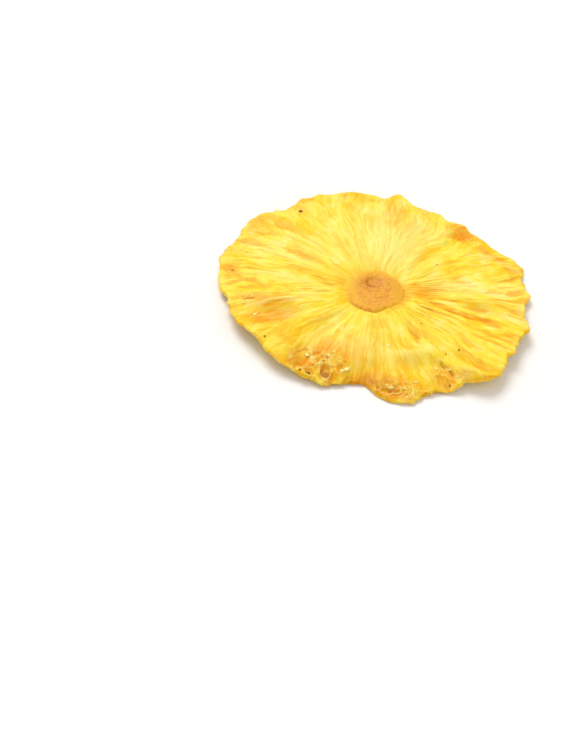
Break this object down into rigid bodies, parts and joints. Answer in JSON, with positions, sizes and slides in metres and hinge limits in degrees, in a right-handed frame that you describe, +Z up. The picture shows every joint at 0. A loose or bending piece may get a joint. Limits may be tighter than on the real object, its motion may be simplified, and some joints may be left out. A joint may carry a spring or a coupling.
{
  "type": "dried pineapple slice",
  "caption": "Thin wavy round of dried pineapple with its core left in, radial fibres, a ragged rim and a few pockets, lying flat.",
  "frame": {"origin": "on the table, under the middle of the slice's box", "axes": "+Z up through the slice, +X along its longest width, -Y towards the notched edge that faces the viewer"},
  "size_m": [0.0912, 0.0876, 0.0062],
  "materials": {
    "flesh": "stands in for dried fruit flesh: yellow, fibrous, slightly waxy, orange-tan at the core"
  },
  "bodies": {
    "root": {"pineapple_slice": "flesh"}
  },
  "joints": []
}
